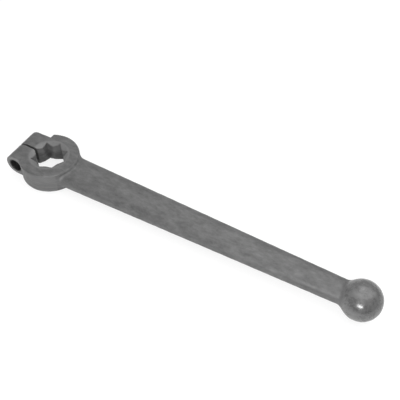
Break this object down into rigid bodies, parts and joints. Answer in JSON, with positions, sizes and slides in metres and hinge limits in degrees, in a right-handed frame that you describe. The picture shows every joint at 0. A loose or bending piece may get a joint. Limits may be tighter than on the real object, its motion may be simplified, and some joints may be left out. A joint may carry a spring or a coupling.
{
  "type": "valve hand lever",
  "caption": "Straight hand lever with a split clamp hub, a star-shaped stem socket, a cross hole for a clamp bolt, a tapered oval arm and a ball end.",
  "frame": {"origin": "on the valve stem's axis, half way up the hub", "axes": "+Z along the stem's axis, +X along the arm to the ball, +Y along the clamp bolt's hole"},
  "size_m": [0.3352, 0.052, 0.032],
  "materials": {
    "forging": "satin dark grey skin, as forged and blasted"
  },
  "bodies": {
    "root": {"lever": "forging"}
  },
  "joints": []
}
